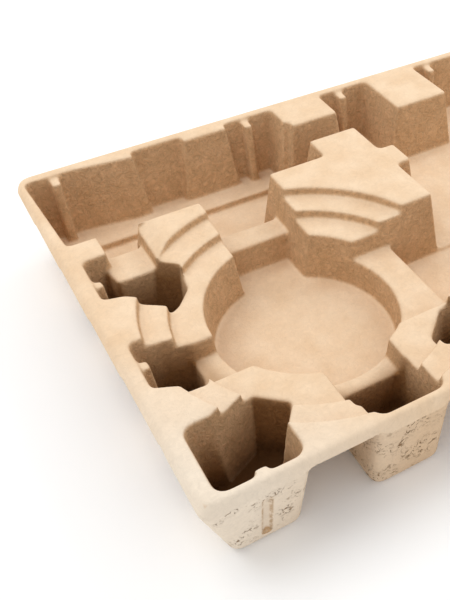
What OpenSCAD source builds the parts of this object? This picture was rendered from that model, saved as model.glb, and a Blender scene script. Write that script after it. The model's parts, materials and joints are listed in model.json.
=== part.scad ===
// Molded pulp insert: one moulded wall with a rim, leg pockets, a round bowl with stairs round it,
// two towers, a far trough with a ribbed wall, buttresses and de-nesting lugs.

/* [Tray] */
// Length over the top of the rim
tray_l = 600; // [596:1:640]
// Width over the top of the rim
tray_w = 400; // [399:1:404]
// How much further out each end lies at the far corners than at the near ones
far_flare = 7; // [5:0.5:8]
// Height from the ground to the top of the rim
tray_h = 80; // [76:1:88]
// Thickness of the pulp wall
wall = 3; // [2.4:0.1:3.4]
// Radius of the outer corners of the rim
corner_r = 11; // [9:1:14]

/* [Lip] */
// Drop of the lip below the top of the rim
lip_drop = 10; // [8:1:13]
// How far the foot of the lip stands out from the rim
lip_flare = 4; // [3.5:0.5:6]

/* [Levels] */
// Drop from the rim to the first tread, and from tread to tread
step_drop = 9; // [7:0.5:11]
// Height of the saddles over the bowl floor
saddle_rise = 29; // [26:1:32]
// Height of the bowl floor over the ground
bowl_z = 14; // [10:1:18]
// Height of the ledge along the far wall over the ground
ledge_z = 14; // [12:1:18]
// Height of the far trough over the ground
trough_z = 6; // [4:1:9]
// Height of the long channel floor beside the large tower over the ground
channel_z = 18; // [16:1:22]

/* [Draft] */
// Lean of the leg pocket walls
leg_draft = 5; // [3:0.5:6]
// Lean of the front pocket walls
front_draft = 2; // [1:0.5:3]
// Lean of the tower and trough walls
hall_draft = 7; // [5:0.5:8]

/* [Bowl] */
// Centre of the bowl along the tray, from the left edge of the rim
bowl_x = 150; // [147:1:153]
// Centre of the bowl across the tray, from the near edge of the rim
bowl_y = 148; // [146:1:150]
// Radius of the bowl floor
bowl_r = 76; // [73:1:78]
// Lean of the bowl wall
bowl_draft = 4; // [2:0.5:6]
// Radius of the stair edge between the first and second tread
stair_r2 = 109; // [107:1:112]
// Radius of the stair edge between the rim and the first tread
stair_r1 = 131; // [129:1:133]
// How much nearer the centre of the stairs lies than the centre of the bowl
stair_back = 8; // [6:1:10]

// Right edge of the low saddle on the bowl's right
right_saddle_x1 = 271; // [269:1:273]
// Near edge of that saddle
right_saddle_y0 = 84; // [82:1:86]

/* [Far slot] */
// Half width of the slot between the towers at the rim
slot_half = 36; // [34:1:37]
// Middle of the slot beyond the middle of the bowl
slot_dx = 8; // [7:1:9]
// Distance from the bowl centre to the saddle wall
slot_reach = 98; // [96:1:100]
// Depth of the saddle between slot and trough
slot_saddle = 23; // [20:1:26]

/* [Large tower] */
// Right edge of the tower
tower_x1 = 303; // [301:1:306]
// Near edge of the tower
tower_y0 = 190; // [188:1:192]
// Far edge of its left part
tower_y1 = 291; // [289:1:294]
// Left edge of its back part
back_x0 = 252; // [249:1:255]
// Far edge of its back part
back_y1 = 320; // [318:1:322]
// Stand-out of the ear on its right side
ear_w = 15; // [12:1:17]
// Near edge of the ear
ear_y0 = 246; // [243:1:249]
// Far edge of the ear
ear_y1 = 275; // [272:1:278]

/* [Small tower] */
// Left edge of the tower
small_x0 = 64; // [62:1:66]
// Far edge of the tower
small_y1 = 284; // [282:1:286]
// Width of the facet along its left edge
facet_w = 15; // [12:1:17]
// Drop of the facet's outer edge below the rim
facet_drop = 7; // [5:0.5:9]

/* [Bridge] */
// Length of the tab that runs in from the left rim
tab_l = 29; // [27:1:31]
// Near edge of the tab
tab_y0 = 259; // [257:1:261]
// Near edge of the bridge between tab and tower
bridge_y0 = 242; // [240:1:244]
// Far edge of the bridge
bridge_y1 = 272; // [270:1:274]

/* [Leg pockets] */
// Width of the rim beside the pockets
rim_side = 8; // [7:0.5:9]
// Width of the rim in front of the pockets
rim_near = 5; // [4:0.5:6]
// Radius of the pocket corners
pocket_round = 8; // [7:0.5:10]
// Radius, round the bowl, at which the pockets begin
pocket_r = 106; // [105:0.5:108]
// Rounding of the legs' bottom edges
foot_round = 3.5; // [3:0.5:5]
// How far the legs' near faces stand back from the rim's edge at the ground
leg_near = 2.5; // [2:0.5:3]
// Width of the corner pocket
corner_w = 63; // [60:1:65]
// Depth of the corner pocket
corner_d = 58; // [55:1:60]
// Near edge of the pocket on the left side
side_y0 = 106; // [104:1:108]
// Far edge of the pocket on the left side
side_y1 = 154; // [152:1:156]
// Near edge of the pocket in front of the bridge
bridge_pocket_y0 = 208; // [206:1:210]
// Left edge of the slot between bowl and front pocket
near_slot_x0 = 123; // [121:1:125]
// Left edge of the front pocket
front_x0 = 126; // [125:1:128]
// Slant of the front pocket's left wall
front_skew = 3; // [2:0.5:4]
// Right edge of the front pocket
front_x1 = 184; // [182:1:186]
// Depth of the front pocket
front_d = 53; // [50:1:56]
// Right edge of the pocket beyond the front pocket
beyond_x1 = 289; // [285:1:292]
// Near edge of the pocket beyond the front pocket
beyond_y0 = 39; // [37:1:41]
// Near edge of the long channel
channel_y0 = 95; // [93:1:97]

/* [Far wall] */
// Width of the rim along the far wall
rim_far = 8; // [7:0.5:9]
// Where the first wall panel begins to slant
slant_x = 40; // [37:1:43]
// Left edge of the first deep wall panel
deep1_x = 97; // [95:1:99]
// Its width
deep1_w = 52; // [50:1:54]
// Left edge of the second deep panel
deep2_x = 193; // [191:1:195]
// Its width
deep2_w = 54; // [52:1:56]
// Left edge of the third deep panel, between the buttresses
deep3_x = 302; // [300:1:304]
// Its width
deep3_w = 58; // [56:1:60]
// Left edge of the deep panel beyond the second buttress
deep4_x = 420; // [418:1:422]
// Stand-out of the plain wall panels from the deep ones
panel_out = 9; // [7:1:11]
// Stand-out of the first buttress from the deep panels
buttress1_out = 39; // [36:1:42]
// Stand-out of the second buttress from the deep panels
buttress2_out = 63; // [60:1:66]
// Width of the ledge at the foot of the wall
ledge_w = 20; // [17:1:22]

/* [Lugs] */
// Width of a lug
lug_w = 8.5; // [8:0.5:10]
// Stand-out of a far lug from the plain wall panels
lug_out = 3; // [2:0.5:5]
// Middle of the first lug
lug1_x = 23.5; // [22:0.5:26]
// Middle of the second lug
lug2_x = 216.5; // [214:0.5:220]
// Middle of the third lug
lug3_x = 326; // [323:0.5:330]
// Middle of the fourth lug
lug4_x = 439; // [437:0.5:445]
// Middle of the lug in the corner pocket
lug5_x = 42.5; // [41:0.5:44]
// Width of that lug
lug5_w = 9.5; // [9:0.5:11]
// Middle of the groove outside, behind that lug
groove_x = 41; // [40:0.5:42]
// Width of the groove
groove_w = 6; // [5:0.5:7]
// Depth of the groove
groove_d = 2.5; // [2:0.5:3]
// Middle of the lug in the pocket before the bridge
lug_bridge_y = 230; // [228:1:232]
// Middle of the lug in the pocket on the left side
lug_side_y = 131; // [129:1:133]
// Stand-out of the lugs in the pockets on the left side
lug_side = 7; // [6:0.5:9]
// Stand-out of the lugs in the corner pockets
lug_near = 4.5; // [4:0.5:6]
// Drop of their caps below the rim
lug_near_drop = 0.5; // [0.5:0.5:1.5]
// Drop of the other lug caps below the rim
lug_drop = 4; // [3:0.5:6]

/* [Hidden] */
$fn = 20;
eps = 0.02;
lap = 20;
tread1_z = tray_h - step_drop;
tread2_z = tray_h - 2 * step_drop;
saddle_z = bowl_z + saddle_rise;
hall_inset = (tray_h - bowl_z) * tan(hall_draft);
slot_x0 = bowl_x + slot_dx - slot_half;
slot_x1 = bowl_x + slot_dx + slot_half;
saddle_y0 = bowl_y + slot_reach;
saddle_y1 = saddle_y0 + slot_saddle;
deep_y = tray_w - rim_far;
far_y = deep_y - panel_out;
stair_y = bowl_y - stair_back;
facet_from = 0.8;
corner_x0 = rim_side + 3;
corner_y1 = rim_near + corner_d;
front_y1 = rim_near + front_d;
trough_x0 = rim_side - 4;
trough_x1 = tray_l - rim_side;
lugs_x = [lug1_x, lug2_x, lug3_x, lug4_x];
deep1_x1 = deep1_x + deep1_w;
deep2_x1 = deep2_x + deep2_w;
deep3_x1 = deep3_x + deep3_w;
ledge_y0 = far_y - 3 * lap;
pulp = [0.86, 0.71, 0.53];

// An outline with rounded corners
module rounded(r = 4)
    offset(r = r)
        offset(delta = -r)
            children();

module box2(x0, x1, y0, y1, r = 4)
    rounded(r)
        translate([x0, y0])
            square([x1 - x0, y1 - y0]);

// The air of a hollow: the outline is taken at the rim, the floor is smaller by the lean of the walls
module well(floor_z, draft, g, foot = 0)
    hull() {
        translate([0, 0, tray_h + 1])
            linear_extrude(eps)
                offset(r = g)
                    children();
        translate([0, 0, floor_z - g + foot])
            linear_extrude(eps)
                offset(delta = g - (tray_h - floor_z) * tan(draft))
                    children();
        translate([0, 0, floor_z - g])
            linear_extrude(eps)
                offset(delta = g - (tray_h - floor_z) * tan(draft) - foot)
                    children();
    }

module disc(x, y, floor_z, r, g, sides = 72)
    translate([x, y, floor_z - g])
        cylinder(h = tray_h - floor_z + g + 1, r1 = r + g,
                 r2 = r + g + (tray_h - floor_z) * tan(bowl_draft), $fn = sides);

// Bowl, stairs and the low saddles round it
module bowl_air(g) {
    disc(bowl_x, bowl_y, bowl_z, bowl_r, g, 96);
    disc(bowl_x, stair_y, tread2_z, stair_r2 - step_drop * tan(bowl_draft), g);
    disc(bowl_x, stair_y, tread1_z, stair_r1 - step_drop * tan(bowl_draft), g);
    well(bowl_z, hall_draft, g)
        box2(slot_x0, slot_x1, bowl_y, saddle_y0 + hall_inset);
    well(saddle_z, hall_draft, g)
        box2(slot_x0, slot_x1, bowl_y, back_y1 + lap);
    well(saddle_z, leg_draft, g)
        box2(near_slot_x0, front_x1, rim_near + lap, bowl_y - lap);
    well(saddle_z, leg_draft, g)
        box2(corner_x0 + lap, bowl_x - bowl_r / 2, side_y0 - wall, bowl_y);
    well(saddle_z, hall_draft, g)
        box2(bowl_x + lap, right_saddle_x1, right_saddle_y0, tower_y0);
}

// A point on a ring round the bowl
function ring(r, a) = [bowl_x + r * cos(a), bowl_y + r * sin(a)];

// Leg pockets: corner, left side, before the bridge, front, then the plain ones on the right
module pocket_air(g) {
    well(wall, leg_draft, g, foot_round)
        box2(corner_x0, corner_x0 + corner_w, rim_near, corner_y1, pocket_round);
    well(wall, leg_draft, g, foot_round)
        rounded(pocket_round / 2)
            polygon([[corner_x0 + lap, corner_y1], ring(pocket_r + 15, 220), ring(pocket_r, 219),
                     ring(pocket_r, 229), ring(pocket_r, 238), ring(pocket_r + 31, 237),
                     [corner_x0 + lap, rim_near + lap]]);
    well(wall, leg_draft, g, foot_round)
        rounded(pocket_round / 2)
            polygon([[rim_side, side_y0], [rim_side, side_y1], [rim_side + 22, side_y1 - 1],
                     ring(pocket_r - 11, 180), ring(pocket_r - 8, 194), ring(pocket_r + 10, 207),
                     [rim_side + 20, side_y0 - 9]]);
    well(wall, leg_draft, g, foot_round)
        rounded(pocket_round / 2)
            polygon([[rim_side, bridge_pocket_y0], [rim_side, tab_y0], [tab_l - 2, tab_y0],
                     [tab_l + 10, bridge_pocket_y0 - 8]]);
    well(wall, leg_draft, g, foot_round)
        rounded(pocket_round / 2)
            polygon([[rim_side + 10, bridge_pocket_y0], [rim_side + 10, bridge_y0],
                     [small_x0 - 3, bridge_y0], ring(pocket_r, 132), ring(pocket_r - 13, 142),
                     ring(pocket_r - 9, 155), ring(pocket_r - 2, 160), ring(pocket_r + 7, 158)]);
    well(wall, front_draft, g, foot_round)
        rounded(pocket_round)
            polygon([[front_x0 + front_skew, rim_near], [front_x1, rim_near], [front_x1, front_y1],
                     [front_x0, front_y1], [front_x0, front_y1 - lap]]);
    well(wall, leg_draft, g, foot_round)
        rounded(pocket_round / 2)
            polygon([ring(pocket_r + 17, -61), ring(pocket_r, -56), ring(pocket_r, -45),
                     ring(pocket_r, -38), [beyond_x1, bowl_y - pocket_r * sin(38)],
                     [beyond_x1, beyond_y0]]);
    well(wall, front_draft, g, foot_round)
        box2(tray_l - front_x1, tray_l - front_x0, rim_near, front_y1, pocket_round);
    well(wall, leg_draft, g, foot_round)
        box2(tray_l - corner_x0 - corner_w, tray_l - corner_x0, rim_near, corner_y1, pocket_round);
}

// Bridge beside the small tower, and the facet along the tower's left edge
module bridge_air(g) {
    well(tread2_z, leg_draft, g)
        box2(tab_l, small_x0, bridge_y0 - lap / 2, small_y1 + lap, 2);
    well(tread2_z, leg_draft, g)
        box2(tab_l - lap / 2, small_x0, bridge_y0 - lap / 2, tab_y0, 2);
    translate([0, small_y1 + g, 0])
        rotate([90, 0, 0])
            linear_extrude(small_y1 - stair_y - stair_r2 * facet_from)
                polygon([[small_x0 - 1, tray_h + 1], [small_x0 - 1, tray_h - facet_drop - g],
                         [small_x0 + facet_w, tray_h - g], [small_x0 + facet_w + g, tray_h + 1]]);
}

// The trough's left wall follows the flare of the rim
function left_wall(y) = trough_x0 - (y - small_y1) / (deep_y - small_y1) * far_flare;

module left_box(x1, y0, y1)
    rounded()
        polygon([[left_wall(y0), y0], [x1, y0], [x1, y1], [left_wall(y1), y1]]);

// Far trough, the hollow behind the towers and the channel on the right
module hall_air(g) {
    for (p = [[deep1_x, deep1_x1], [deep2_x, deep2_x1]])
        well(ledge_z, hall_draft, g)
            box2(p[0], p[1], ledge_y0, deep_y);
    for (p = [[deep3_x, deep3_x1], [deep4_x, trough_x1]])
        well(channel_z, hall_draft, g)
            box2(p[0], p[1], ear_y1, deep_y);
    // Slanted first panel, plain panels with the ledge in front, then the deeper trough
    well(ledge_z, hall_draft, g)
        rounded()
            polygon([[left_wall(ledge_y0), ledge_y0], [left_wall(deep_y), deep_y - 1],
                     [slant_x, deep_y - 1], [deep1_x - wall, far_y], [deep1_x - wall, ledge_y0]]);
    well(ledge_z, hall_draft, g)
        left_box(deep2_x1, back_y1 - lap / 2, far_y);
    well(ledge_z, hall_draft, g)
        left_box(deep3_x1, back_y1, deep_y - buttress1_out);
    well(trough_z, hall_draft, g)
        left_box(slot_x1 - hall_inset, small_y1, far_y - ledge_w);
    well(trough_z, hall_draft, g)
        box2(tab_l, small_x0, bridge_y1, far_y - ledge_w);
    well(trough_z, hall_draft, g)
        box2(slot_x0, slot_x1, saddle_y1, far_y - ledge_w);
    well(trough_z, hall_draft, g)
        box2(slot_x0, back_x0, tower_y1, far_y - ledge_w);
    // Channel beside the large tower, round its ear
    well(channel_z, hall_draft, g)
        box2(tower_x1, trough_x1, ear_y1, deep_y - buttress2_out);
    well(channel_z, hall_draft, g)
        box2(tower_x1 + ear_w, trough_x1, tower_y0, deep_y - buttress2_out);
    well(channel_z, hall_draft, g)
        box2(tower_x1, trough_x1, tower_y0 - lap, ear_y0);
    well(bowl_z, hall_draft, g)
        box2(back_x0, trough_x1, channel_y0, tower_y0);
    well(channel_z, hall_draft, g)
        box2(deep4_x, trough_x1, channel_y0, far_y);
}

// A de-nesting lug: a bar that leans with the wall behind it
module lug(out, w, draft, g, drop = lug_drop)
    hull()
        for (z = [0, tray_h - drop - g])
            translate([g - w / 2, g - out - (tray_h - z) * tan(draft), z])
                cube([w - 2 * g, out + lap, eps]);

// Hollow lugs on the far wall and in the pockets on the left
module lugs(g) {
    for (x = lugs_x)
        translate([x, far_y, 0])
            lug(lug_out, lug_w, hall_draft, g);
    for (y = [lug_bridge_y, lug_side_y])
        translate([rim_side, y, 0])
            rotate(90)
                lug(lug_side, lug_w, leg_draft, g);
}

// Shallow lugs on the near wall of the corner pockets
module near_lugs()
    for (x = [lug5_x, tray_l - lug5_x])
        translate([x, rim_near, 0])
            rotate(180)
                lug(lug_near, lug5_w, leg_draft, 0, lug_near_drop);

module air(g)
    difference() {
        union() {
            bowl_air(g);
            pocket_air(g);
            bridge_air(g);
            hall_air(g);
        }
        lugs(g);
    }

module outline()
    rounded(corner_r)
        polygon([[0, 0], [tray_l, 0], [tray_l + far_flare, tray_w], [-far_flare, tray_w]]);

// Outer faces of a leg, which run from the foot of the lip down to the leg's bottom
module leg_face(top_x0, x0, x1, y1, lean)
    hull() {
        translate([0, 0, tray_h - eps])
            linear_extrude(eps)
                box2(top_x0 + lip_flare, x1, 0, y1, pocket_round);
        translate([0, 0, tray_h - lip_drop])
            linear_extrude(eps)
                box2(top_x0, x1, -lip_flare, y1, pocket_round);
        translate([0, 0, foot_round])
            linear_extrude(eps)
                box2(x0 + lean, x1 - lean, leg_near + lean, y1 - lean, pocket_round);
        linear_extrude(eps)
            offset(delta = -foot_round)
                box2(x0 + lean, x1 - lean, leg_near + lean, y1 - lean, pocket_round);
    }

// The leg under the corner pocket has a shallow groove down its near face
module leg_faces() {
    corner_lean = tray_h * tan(leg_draft) - wall;
    front_lean = tray_h * tan(front_draft) - wall;
    difference() {
        leg_face(-lip_flare, corner_x0, corner_x0 + corner_w, corner_y1, corner_lean);
        hull() {
            translate([groove_x - groove_w / 2, -lip_flare, tray_h - 2 * lip_drop])
                cube([groove_w, lip_flare + groove_d / 2, eps]);
            translate([groove_x - groove_w / 2, 0, lip_drop])
                cube([groove_w, leg_near + corner_lean + groove_d, eps]);
        }
    }
    leg_face(front_x0 - wall, front_x0, front_x1, front_y1, front_lean);
}

// Rim plate with the lip that hangs from it
module rim()
    difference() {
        hull() {
            translate([0, 0, tray_h - eps])
                linear_extrude(eps)
                    outline();
            translate([0, 0, tray_h - lip_drop])
                linear_extrude(eps)
                    offset(r = lip_flare)
                        outline();
        }
        hull() {
            translate([0, 0, tray_h - wall - eps])
                linear_extrude(eps)
                    offset(r = -wall)
                        outline();
            translate([0, 0, tray_h - lip_drop - 1])
                linear_extrude(eps)
                    offset(r = lip_flare - wall)
                        outline();
        }
    }

module insert()
    color(pulp)
        translate([-tray_l / 2, -tray_w / 2, 0])
            difference() {
                union() {
                    rim();
                    leg_faces();
                    translate([tray_l, 0, 0])
                        mirror([1, 0, 0])
                            leg_faces();
                    intersection() {
                        air(wall);
                        translate([-lap, -lap, 0])
                            cube([tray_l + 2 * lap, tray_w + 2 * lap, tray_h]);
                    }
                }
                difference() {
                    air(0);
                    near_lugs();
                }
            }

insert();
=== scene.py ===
import json
import math

import bpy
from mathutils import Matrix, Vector

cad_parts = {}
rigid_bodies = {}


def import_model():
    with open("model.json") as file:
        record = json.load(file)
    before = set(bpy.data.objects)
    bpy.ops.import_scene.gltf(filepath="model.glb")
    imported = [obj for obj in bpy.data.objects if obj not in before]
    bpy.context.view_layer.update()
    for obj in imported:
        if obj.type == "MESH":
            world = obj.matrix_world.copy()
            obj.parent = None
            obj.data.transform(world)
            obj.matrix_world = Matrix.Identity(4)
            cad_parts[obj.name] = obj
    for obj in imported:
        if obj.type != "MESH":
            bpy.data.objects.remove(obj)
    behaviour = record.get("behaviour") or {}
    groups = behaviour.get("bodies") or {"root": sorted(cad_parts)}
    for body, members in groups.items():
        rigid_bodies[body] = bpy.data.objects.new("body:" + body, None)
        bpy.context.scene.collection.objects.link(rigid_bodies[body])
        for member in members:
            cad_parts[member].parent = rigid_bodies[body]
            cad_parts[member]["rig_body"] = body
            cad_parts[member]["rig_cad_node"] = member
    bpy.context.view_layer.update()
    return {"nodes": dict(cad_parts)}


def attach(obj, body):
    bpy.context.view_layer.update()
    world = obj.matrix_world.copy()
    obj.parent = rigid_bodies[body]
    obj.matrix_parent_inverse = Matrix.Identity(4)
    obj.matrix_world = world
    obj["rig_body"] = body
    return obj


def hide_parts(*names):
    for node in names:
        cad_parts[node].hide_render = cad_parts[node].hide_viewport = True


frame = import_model()

# The moulded wall: one thin skin of paper pulp, sucked onto a mesh mould from a wet slurry and
# dried. The wet fibres bridge every sharp corner, so all its edges are soft and slightly uneven.
bpy.ops.object.select_all(action="DESELECT")
insert_wall = frame["nodes"]["insert"].copy()
insert_wall.data = frame["nodes"]["insert"].data.copy()
insert_wall.name = "insert_wall"
insert_wall.data.name = "insert_wall"
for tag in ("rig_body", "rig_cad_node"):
    del insert_wall[tag]
insert_wall.parent = None
bpy.context.scene.collection.objects.link(insert_wall)
bpy.context.view_layer.objects.active = insert_wall
insert_wall.select_set(True)

weld = insert_wall.modifiers.new("weld", "WELD")
weld.merge_threshold = 0.00002
bpy.ops.object.modifier_apply(modifier=weld.name)

fibre_grid = 0.0012
skin = insert_wall.modifiers.new("skin", "REMESH")
skin.mode = "VOXEL"
skin.voxel_size = fibre_grid
skin.use_smooth_shade = True
bpy.ops.object.modifier_apply(modifier=skin.name)

soften = insert_wall.modifiers.new("soften", "SMOOTH")
soften.factor = 0.5
soften.iterations = 30
bpy.ops.object.modifier_apply(modifier=soften.name)

wall_faces = 190000
thin = insert_wall.modifiers.new("thin", "DECIMATE")
thin.ratio = wall_faces / sum(len(f.vertices) - 2 for f in insert_wall.data.polygons)
bpy.ops.object.modifier_apply(modifier=thin.name)
bpy.ops.object.shade_smooth()

# Dried pulp: matt beige paper. The flats and the rim's lip were pressed on the mould and are pale;
# the steep walls are felted and carry a browner painted shade, and painted shade darkens the leg
# pockets down in their depths. The under side dried open: it has pits, and painted shade lines the
# groove of the corner leg.
pulp = bpy.data.materials.new("dried_pulp")
pulp.use_nodes = True
pulp_nodes = pulp.node_tree.nodes
pulp_links = pulp.node_tree.links
pulp_shader = pulp_nodes["Principled BSDF"]
pulp_shader.inputs["Roughness"].default_value = 0.92
pulp_shader.inputs["Specular IOR Level"].default_value = 0.12
pulp_place = pulp_nodes.new("ShaderNodeTexCoord")


def pulp_feed(socket, term):
    """Link what another node gives, or set a plain value on the socket."""
    if isinstance(term, bpy.types.NodeSocket):
        pulp_links.new(term, socket)
    else:
        socket.default_value = term


def pulp_sum(operation, *terms):
    sum_node = pulp_nodes.new("ShaderNodeMath")
    sum_node.operation = operation
    for socket, term in zip(sum_node.inputs, terms):
        pulp_feed(socket, term)
    return sum_node.outputs["Value"]


def pulp_fade(measure, start, end, low=0.0, high=1.0):
    """Go from low to high while the measure goes from start to end."""
    fade = pulp_nodes.new("ShaderNodeMapRange")
    fade.inputs["From Min"].default_value = start
    fade.inputs["From Max"].default_value = end
    fade.inputs["To Min"].default_value = low
    fade.inputs["To Max"].default_value = high
    pulp_links.new(measure, fade.inputs["Value"])
    return fade.outputs["Result"]


def pulp_blend(amount, first, second, way="MIX"):
    blend = pulp_nodes.new("ShaderNodeMix")
    blend.data_type = "RGBA"
    blend.blend_type = way
    colour_a, colour_b, colour_out = blend.inputs[6], blend.inputs[7], blend.outputs[2]
    pulp_links.new(amount, blend.inputs["Factor"])
    pulp_feed(colour_a, first)
    pulp_feed(colour_b, second)
    return colour_out


def pulp_noise(scale, detail, roughness=0.5, distortion=0.0):
    noise = pulp_nodes.new("ShaderNodeTexNoise")
    noise.inputs["Scale"].default_value = scale
    noise.inputs["Detail"].default_value = detail
    noise.inputs["Roughness"].default_value = roughness
    noise.inputs["Distortion"].default_value = distortion
    pulp_links.new(pulp_place.outputs["Object"], noise.inputs["Vector"])
    return noise.outputs["Fac"]


def pulp_mottle(pattern, deep, pale):
    tint = pulp_nodes.new("ShaderNodeValToRGB")
    tint.color_ramp.elements[0].position = 0.3
    tint.color_ramp.elements[0].color = deep
    tint.color_ramp.elements[1].position = 0.7
    tint.color_ramp.elements[1].color = pale
    pulp_links.new(pattern, tint.inputs["Fac"])
    return tint.outputs["Color"]


# Where on the tray a spot lies, and which way its face turns. From these come the pressed flats, the
# rim's lip and the open under side, which stay free of the painted shade that the steep walls get.
wall_normal = pulp_nodes.new("ShaderNodeSeparateXYZ")
pulp_links.new(pulp_place.outputs["Normal"], wall_normal.inputs["Vector"])
turn_x, turn_y, turn_z = (wall_normal.outputs[axis] for axis in "XYZ")
pulp_spot = pulp_nodes.new("ShaderNodeSeparateXYZ")
pulp_links.new(pulp_place.outputs["Object"], pulp_spot.inputs["Vector"])
along, across, height = (pulp_spot.outputs[axis] for axis in "XYZ")
end_reach = pulp_sum("ABSOLUTE", along)
side_reach = pulp_sum("ABSOLUTE", across)
under_side = pulp_fade(turn_z, 0.03, -0.05)
upper_side = pulp_sum("SUBTRACT", 1.0, under_side)
flat_face = pulp_fade(turn_z, 0.2, 0.85)
side_lip = pulp_fade(side_reach, 0.1975, 0.1990)
end_slant = -0.0175
end_square = pulp_sum("MULTIPLY_ADD", across, end_slant, end_reach)
end_lip = pulp_fade(end_square, 0.3010, 0.3025)
lip_face = pulp_sum("MAXIMUM", side_lip, end_lip)
outside = pulp_sum("MAXIMUM", lip_face, under_side)
pressed_unshaded = pulp_sum("MAXIMUM", flat_face, outside)

# The mottled beige of the pulp, duller on the open under side. The walls' browner tint is painted
# shade, and the paler near left corner is painted light.
mottle = pulp_noise(45.0, 4.0)
flat_tint = pulp_mottle(mottle, (0.79, 0.57, 0.37, 1), (0.86, 0.655, 0.455, 1))
wall_shade_tint = pulp_mottle(mottle, (0.68, 0.43, 0.232, 1), (0.77, 0.505, 0.288, 1))
open_beige = (0.72, 0.52, 0.34, 1)
outer_tint = pulp_blend(under_side, flat_tint, open_beige)
# Painted light: the near left corner of the tray is paler, as under a haze of light.
corner_fade = pulp_fade(pulp_sum("ADD", along, across), -0.34, -0.47)
corner_painted_light = (0.84, 0.72, 0.58, 1)
side_tint = pulp_blend(corner_fade, outer_tint, corner_painted_light)
# Painted shade: the steep inner walls take the browner tint, the pressed faces keep the pale one.
pulp_tint = pulp_blend(pressed_unshaded, wall_shade_tint, side_tint)

# The leg pockets lie in a row on the left and a row in front, outside the bowl and behind the rim.
# Painted shade darkens them with depth, and it rises higher on the wall across a pocket's corner
# than on the fold beside it.
plan_spot = pulp_nodes.new("ShaderNodeVectorMath")
plan_spot.operation = "MULTIPLY"
plan_spot.inputs[1].default_value = (1, 1, 0)
pulp_links.new(pulp_place.outputs["Object"], plan_spot.inputs[0])
bowl_centre = (-0.150, -0.052, 0)
bowl_distance = pulp_nodes.new("ShaderNodeVectorMath")
bowl_distance.operation = "DISTANCE"
bowl_distance.inputs[1].default_value = bowl_centre
pulp_links.new(plan_spot.outputs["Vector"], bowl_distance.inputs[0])
beyond_bowl = pulp_fade(bowl_distance.outputs["Value"], 0.084, 0.094)
left_pockets = pulp_fade(along, -0.212, -0.222)
before_bridge = pulp_fade(across, 0.064, 0.058)
left_row = pulp_sum("MULTIPLY", left_pockets, before_bridge)
before_bowl = pulp_fade(across, -0.104, -0.116)
pocket_rows = pulp_sum("MAXIMUM", left_row, before_bowl)
behind_rim = pulp_fade(across, -0.191, -0.187)
inner_rows = pulp_sum("MULTIPLY", pocket_rows, behind_rim)
pocket_turn = pulp_sum("MULTIPLY", turn_x, turn_y)
corner_turn = pulp_sum("MULTIPLY", pocket_turn, pulp_sum("SIGN", along))
shade_rise = pulp_fade(corner_turn, -0.4, 0.4, -0.03, 0.03)
depth = pulp_fade(pulp_sum("ADD", height, shade_rise), 0.061, 0.024)
pocket_depth = pulp_sum("MULTIPLY", inner_rows, depth)
pocket_beyond = pulp_sum("MULTIPLY", pocket_depth, beyond_bowl)
pocket_shade_mask = pulp_sum("MULTIPLY", pocket_beyond, upper_side)
pocket_floor = pulp_fade(height, 0.026, 0.004)
# The pocket colours are painted shade, darkest on the pocket floors.
pocket_shade_colour = (0.34, 0.17, 0.065, 1)
pocket_floor_shade_colour = (0.13, 0.06, 0.022, 1)
pocket_shade_tint = pulp_blend(pocket_floor, pocket_shade_colour, pocket_floor_shade_colour)
pocket_shaded = pulp_blend(pocket_shade_mask, pulp_tint, pocket_shade_tint)

# Felt all over, strongest on the steep walls, and pits in patches on the under side, where crumbs
# of wet pulp fell out.
felt = pulp_noise(230.0, 6.0, roughness=0.7, distortion=1.0)
felt_shade = pulp_fade(felt, 0.34, 0.66, 0.79, 1.11)
felt_amount = pulp_fade(pressed_unshaded, 0.0, 1.0, 1.0, 0.3)
felted = pulp_blend(felt_amount, pocket_shaded, felt_shade, way="MULTIPLY")
crumb_patch = pulp_noise(55.0, 3.0)
corner_thinning = -0.07
crumb_thin = pulp_sum("MULTIPLY_ADD", corner_fade, corner_thinning, crumb_patch)
crumb_area = pulp_fade(crumb_thin, 0.43, 0.59)
crumbs = pulp_noise(300.0, 3.0, distortion=1.2)
crumb_holes = pulp_fade(crumbs, 0.55, 0.64)
pit_depth = pulp_sum("MULTIPLY", crumb_area, crumb_holes)
pits = pulp_sum("MULTIPLY", pit_depth, under_side)
pit_brown = (0.30, 0.18, 0.09, 1)
pitted = pulp_blend(pits, felted, pit_brown)

# Painted shade along both edges of the upright groove in the corner leg, broken up by the crumb
# noise.
groove_x = 0.259
groove_reach = pulp_sum("ABSOLUTE", pulp_sum("SUBTRACT", end_reach, groove_x))
groove_band = pulp_fade(groove_reach, 0.0047, 0.0037)
groove_core = pulp_fade(groove_reach, 0.0018, 0.0028)
groove_out = pulp_fade(across, -0.1895, -0.1910)
groove_side = pulp_fade(pulp_sum("ABSOLUTE", turn_x), 0.1, 0.3)
groove_line = pulp_sum("MULTIPLY", groove_band, groove_core)
groove_near = pulp_sum("MULTIPLY", groove_line, groove_out)
groove_edge = pulp_sum("MULTIPLY", groove_near, groove_side)
groove_breakup = pulp_fade(crumbs, 0.38, 0.55)
groove_shade_mask = pulp_sum("MULTIPLY", groove_edge, groove_breakup)
# Painted shade: a broken brown line on each edge of the groove.
groove_painted_shade = (0.56, 0.40, 0.26, 1)
groove_shaded = pulp_blend(groove_shade_mask, pitted, groove_painted_shade)
pulp_links.new(groove_shaded, pulp_shader.inputs["Base Color"])

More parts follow.
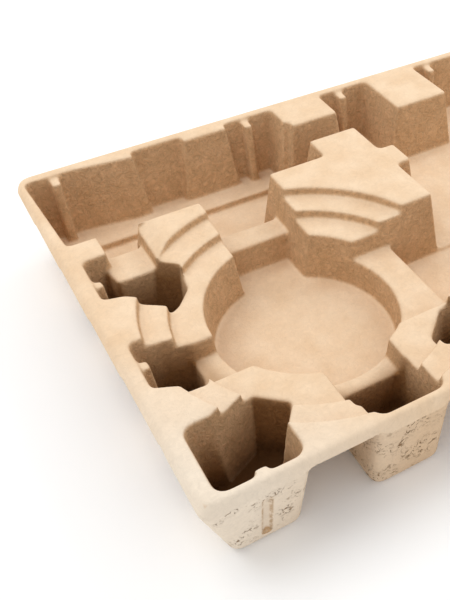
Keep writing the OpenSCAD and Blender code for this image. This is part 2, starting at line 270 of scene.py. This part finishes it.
felt_bump = pulp_nodes.new("ShaderNodeBump")
felt_bump.inputs["Distance"].default_value = 0.003
pulp_links.new(felt_amount, felt_bump.inputs["Strength"])
pulp_links.new(felt, felt_bump.inputs["Height"])
pit_bump = pulp_nodes.new("ShaderNodeBump")
pit_bump.invert = True
pit_bump.inputs["Strength"].default_value = 0.8
pit_bump.inputs["Distance"].default_value = 0.0018
pulp_links.new(pits, pit_bump.inputs["Height"])
pulp_links.new(felt_bump.outputs["Normal"], pit_bump.inputs["Normal"])
pulp_links.new(pit_bump.outputs["Normal"], pulp_shader.inputs["Normal"])
insert_wall.data.materials.clear()
insert_wall.data.materials.append(pulp)
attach(insert_wall, "root")
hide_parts("insert")

# The studio floor: a wide sheet of matt white background paper, laid flat under the tray. It keeps
# the tray's soft shadow.
bpy.ops.object.select_all(action="DESELECT")
bpy.ops.mesh.primitive_plane_add(size=8.0, location=(0, 0, -0.0005))
studio_floor = bpy.context.object
studio_floor.name = "studio_floor"
paper_white = bpy.data.materials.new("studio_paper")
paper_white.use_nodes = True
paper_shader = paper_white.node_tree.nodes["Principled BSDF"]
paper_shader.inputs["Base Color"].default_value = (1, 1, 1, 1)
paper_shader.inputs["Specular IOR Level"].default_value = 0.0
paper_shader.inputs["Roughness"].default_value = 0.9
studio_floor.data.materials.append(paper_white)

# The light: a white room all round, a wide soft lamp high behind the left end, and a smaller one
# low on the right, which lights the pocket walls and lugs that face that way.
room = bpy.data.worlds.new("studio_room")
bpy.context.scene.world = room
room.use_nodes = True
room_nodes = room.node_tree.nodes
room_links = room.node_tree.links
room_light = room_nodes["Background"]
room_light.inputs["Color"].default_value = (1, 1, 1, 1)
room_view = room_nodes.new("ShaderNodeLightPath")
seen_or_glossy = room_nodes.new("ShaderNodeMath")
seen_or_glossy.operation = "MAXIMUM"
room_links.new(room_view.outputs["Is Camera Ray"], seen_or_glossy.inputs[0])
room_links.new(room_view.outputs["Is Glossy Ray"], seen_or_glossy.inputs[1])
seen = room_nodes.new("ShaderNodeMath")
seen.operation = "MAXIMUM"
room_links.new(seen_or_glossy.outputs["Value"], seen.inputs[0])
room_links.new(room_view.outputs["Is Transmission Ray"], seen.inputs[1])
room_level = room_nodes.new("ShaderNodeMix")
room_level.inputs["A"].default_value = 0.78
room_level.inputs["B"].default_value = 1.0
room_links.new(seen.outputs["Value"], room_level.inputs["Factor"])
room_links.new(room_level.outputs["Result"], room_light.inputs["Strength"])


def hang_lamp(name, place, aim, width, watts):
    bpy.ops.object.light_add(type="AREA", location=place)
    lamp = bpy.context.object
    lamp.name = name
    lamp.data.shape = "DISK"
    lamp.data.size = width
    lamp.data.energy = watts
    lamp.rotation_euler = (Vector(place) - Vector(aim)).to_track_quat("Z", "Y").to_euler()


hang_lamp("soft_lamp", (-0.8, 0.55, 1.7), (-0.1, 0, 0), width=1.4, watts=12.0)
hang_lamp("side_lamp", (1.2, 0.25, 0.95), (-0.15, 0, 0.05), width=1.2, watts=7.0)

# The camera: a view down over the near left corner, from standing height. The frame is shifted
# sideways, so the tray runs out of the picture on the right, as in the photograph.
photo_h = 600.0
focal_px = 812.4
axis_px = 114.0
pitch = math.radians(43.32)
yaw = math.radians(30.6)
roll = math.radians(-0.27)
eye = Vector((-0.36601, -0.47217, 0.50301))
look = Vector((math.sin(yaw) * math.cos(pitch), math.cos(yaw) * math.cos(pitch), -math.sin(pitch)))
right = Vector((math.cos(yaw), -math.sin(yaw), 0.0))
up = right.cross(look)
right_rolled = right * math.cos(roll) + up * math.sin(roll)
up_rolled = up * math.cos(roll) - right * math.sin(roll)
eye_data = bpy.data.cameras.new("photo_eye")
eye_data.sensor_fit = "VERTICAL"
eye_data.sensor_height = 24.0
eye_data.lens = eye_data.sensor_height * focal_px / photo_h
eye_data.shift_x = -axis_px / photo_h
photo_eye = bpy.data.objects.new("photo_eye", eye_data)
eye_turn = Matrix((right_rolled, up_rolled, -look)).transposed().to_4x4()
photo_eye.matrix_world = Matrix.Translation(eye) @ eye_turn
bpy.context.scene.collection.objects.link(photo_eye)
bpy.context.scene.camera = photo_eye
bpy.context.scene.view_settings.view_transform = "Standard"
